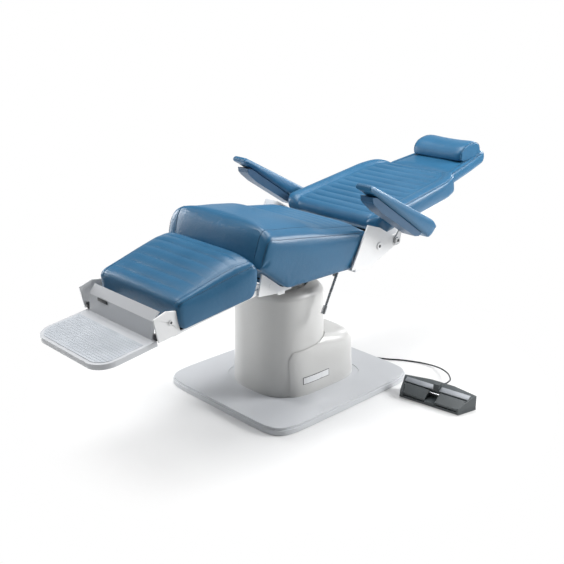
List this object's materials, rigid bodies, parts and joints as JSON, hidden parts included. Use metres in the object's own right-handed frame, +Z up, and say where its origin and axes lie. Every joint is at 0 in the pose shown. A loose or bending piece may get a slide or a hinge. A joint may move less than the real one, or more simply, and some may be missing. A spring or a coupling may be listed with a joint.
{
  "type": "ophthalmic examination chair",
  "caption": "Powered reclining examination chair on a pedestal with a flat base plate, folding legrest and footplate, pivoting arms, sliding headrest and a corded foot switch.",
  "frame": {"origin": "middle of the base plate's underside, on the floor", "axes": "+Z up; the patient's feet point along -Y and the head along +Y; +X is the patient's left"},
  "size_m": [1.0045, 2.0208, 0.8209],
  "materials": {
    "blue_vinyl": "fine grained upholstery vinyl",
    "blue_shell": "satin",
    "pedestal_plastic": "satin moulded",
    "base_plastic": "fine textured",
    "foot_mat_rubber": "fine ribbed grid",
    "white_steel": "semi-gloss",
    "sleeve_white": "satin",
    "grey_steel": "satin",
    "floor_iron": "painted",
    "polished_chrome": "polished",
    "board_wood": "plywood",
    "dark_plastic": "fine textured",
    "black_rubber": "matt"
  },
  "bodies": {
    "base": {"floor_plate": "floor_iron", "base_cover": "base_plastic", "pedestal_cover": "pedestal_plastic", "motor_cover": "pedestal_plastic", "blank_label": "white_steel", "outer_column": "grey_steel", "column_bush": "sleeve_white", "lift_actuator": "dark_plastic", "control_box": "dark_plastic", "switch_base": "dark_plastic", "switch_lid": "dark_plastic", "switch_feet": "black_rubber", "switch_relief": "black_rubber", "pedal_pins": "polished_chrome", "cord_gland": "black_rubber", "cord_lead_in": "black_rubber", "cord_coil": "black_rubber", "cord_tie": "black_rubber", "cord_lead_out": "black_rubber"},
    "pedal_left": {"pedal_left": "dark_plastic"},
    "pedal_right": {"pedal_right": "dark_plastic"},
    "lift": {"inner_column": "grey_steel", "lift_rod": "polished_chrome", "lift_sleeve": "sleeve_white", "bearing_plate": "grey_steel"},
    "chair": {"turntable": "grey_steel", "seat_frame": "white_steel", "seat_board": "board_wood", "seat_cushion": "blue_vinyl", "hinge_plate_left": "white_steel", "hinge_plate_right": "white_steel", "front_brackets": "white_steel", "arm_bolts": "polished_chrome", "recline_motor": "dark_plastic", "lever_boss": "grey_steel"},
    "lock_lever": {"lock_lever": "polished_chrome", "lever_grip": "polished_chrome"},
    "back": {"recline_shaft": "polished_chrome", "back_frame": "white_steel", "back_board": "board_wood", "back_cushion": "blue_vinyl", "headrest_sockets": "dark_plastic"},
    "headrest": {"headrest_bars": "polished_chrome", "headrest_board": "board_wood", "headrest_cushion": "blue_vinyl"},
    "pillow": {"neck_pillow": "blue_vinyl"},
    "legrest": {"leg_frame": "white_steel", "leg_shaft": "polished_chrome", "leg_board": "board_wood", "leg_cushion": "blue_vinyl", "footplate_bolts": "polished_chrome"},
    "footplate": {"footplate": "base_plastic", "foot_mat": "foot_mat_rubber"},
    "link": {"recline_link": "grey_steel"},
    "arm_left": {"arm_bracket_left": "grey_steel", "arm_support_left": "blue_shell", "arm_pad_left": "blue_vinyl"},
    "arm_right": {"arm_bracket_right": "grey_steel", "arm_support_right": "blue_shell", "arm_pad_right": "blue_vinyl"}
  },
  "joints": [
    {"name": "column_lift", "type": "slide", "parent": "base", "child": "lift", "axis": [0, 0, 1], "range_m": [0, 0.18]},
    {"name": "chair_swivel", "type": "hinge", "parent": "lift", "child": "chair", "pos_m": [0, -0.056, 0.44], "axis": [0, 0, 1], "range_deg": [-165, 165]},
    {"name": "swivel_lock", "type": "hinge", "parent": "chair", "child": "lock_lever", "pos_m": [0.21, 0.03, 0.475], "axis": [1, 0, 0], "range_deg": [0, 25]},
    {"name": "back_recline", "type": "hinge", "parent": "chair", "child": "back", "pos_m": [0, 0.187, 0.56], "axis": [1, 0, 0], "range_deg": [0, 60]},
    {"name": "legrest_fold", "type": "hinge", "parent": "chair", "child": "legrest", "pos_m": [0, -0.296, 0.512], "axis": [1, 0, 0], "range_deg": [0, 60]},
    {"name": "footplate_level", "type": "hinge", "parent": "legrest", "child": "footplate", "pos_m": [0, -0.704, 0.494], "axis": [1, 0, 0], "range_deg": [-60, 0]},
    {"name": "link_swing", "type": "hinge", "parent": "legrest", "child": "link", "pos_m": [0, -0.341, 0.43406], "axis": [1, 0, 0], "range_deg": [-60, 0]},
    {"name": "headrest_slide", "type": "slide", "parent": "back", "child": "headrest", "axis": [0, 0.9866, 0.1633], "range_m": [0, 0.08]},
    {"name": "pillow_slide", "type": "slide", "parent": "headrest", "child": "pillow", "axis": [0, 0.9866, 0.1633], "range_m": [-0.03, 0.03]},
    {"name": "arm_left_pivot", "type": "hinge", "parent": "chair", "child": "arm_left", "pos_m": [0.27, 0.282, 0.563], "axis": [1, 0, 0], "range_deg": [-55, 25]},
    {"name": "arm_right_pivot", "type": "hinge", "parent": "chair", "child": "arm_right", "pos_m": [-0.27, 0.282, 0.563], "axis": [1, 0, 0], "range_deg": [-55, 25]},
    {"name": "pedal_left_press", "type": "hinge", "parent": "base", "child": "pedal_left", "pos_m": [0.50967, 0.24312, 0.038], "axis": [0.9903, 0.1392, 0], "range_deg": [0, 5], "stiffness_Nm_per_rad": 3, "springref_deg": -5.73},
    {"name": "pedal_right_press", "type": "hinge", "parent": "base", "child": "pedal_right", "pos_m": [0.50967, 0.24312, 0.038], "axis": [0.9903, 0.1392, 0], "range_deg": [0, 5], "stiffness_Nm_per_rad": 3, "springref_deg": -5.73}
  ],
  "couplings": [
    {"joint": "legrest_fold", "follows": "back_recline", "ratio": 1},
    {"joint": "footplate_level", "follows": "back_recline", "ratio": -1},
    {"joint": "link_swing", "follows": "back_recline", "ratio": -1}
  ]
}
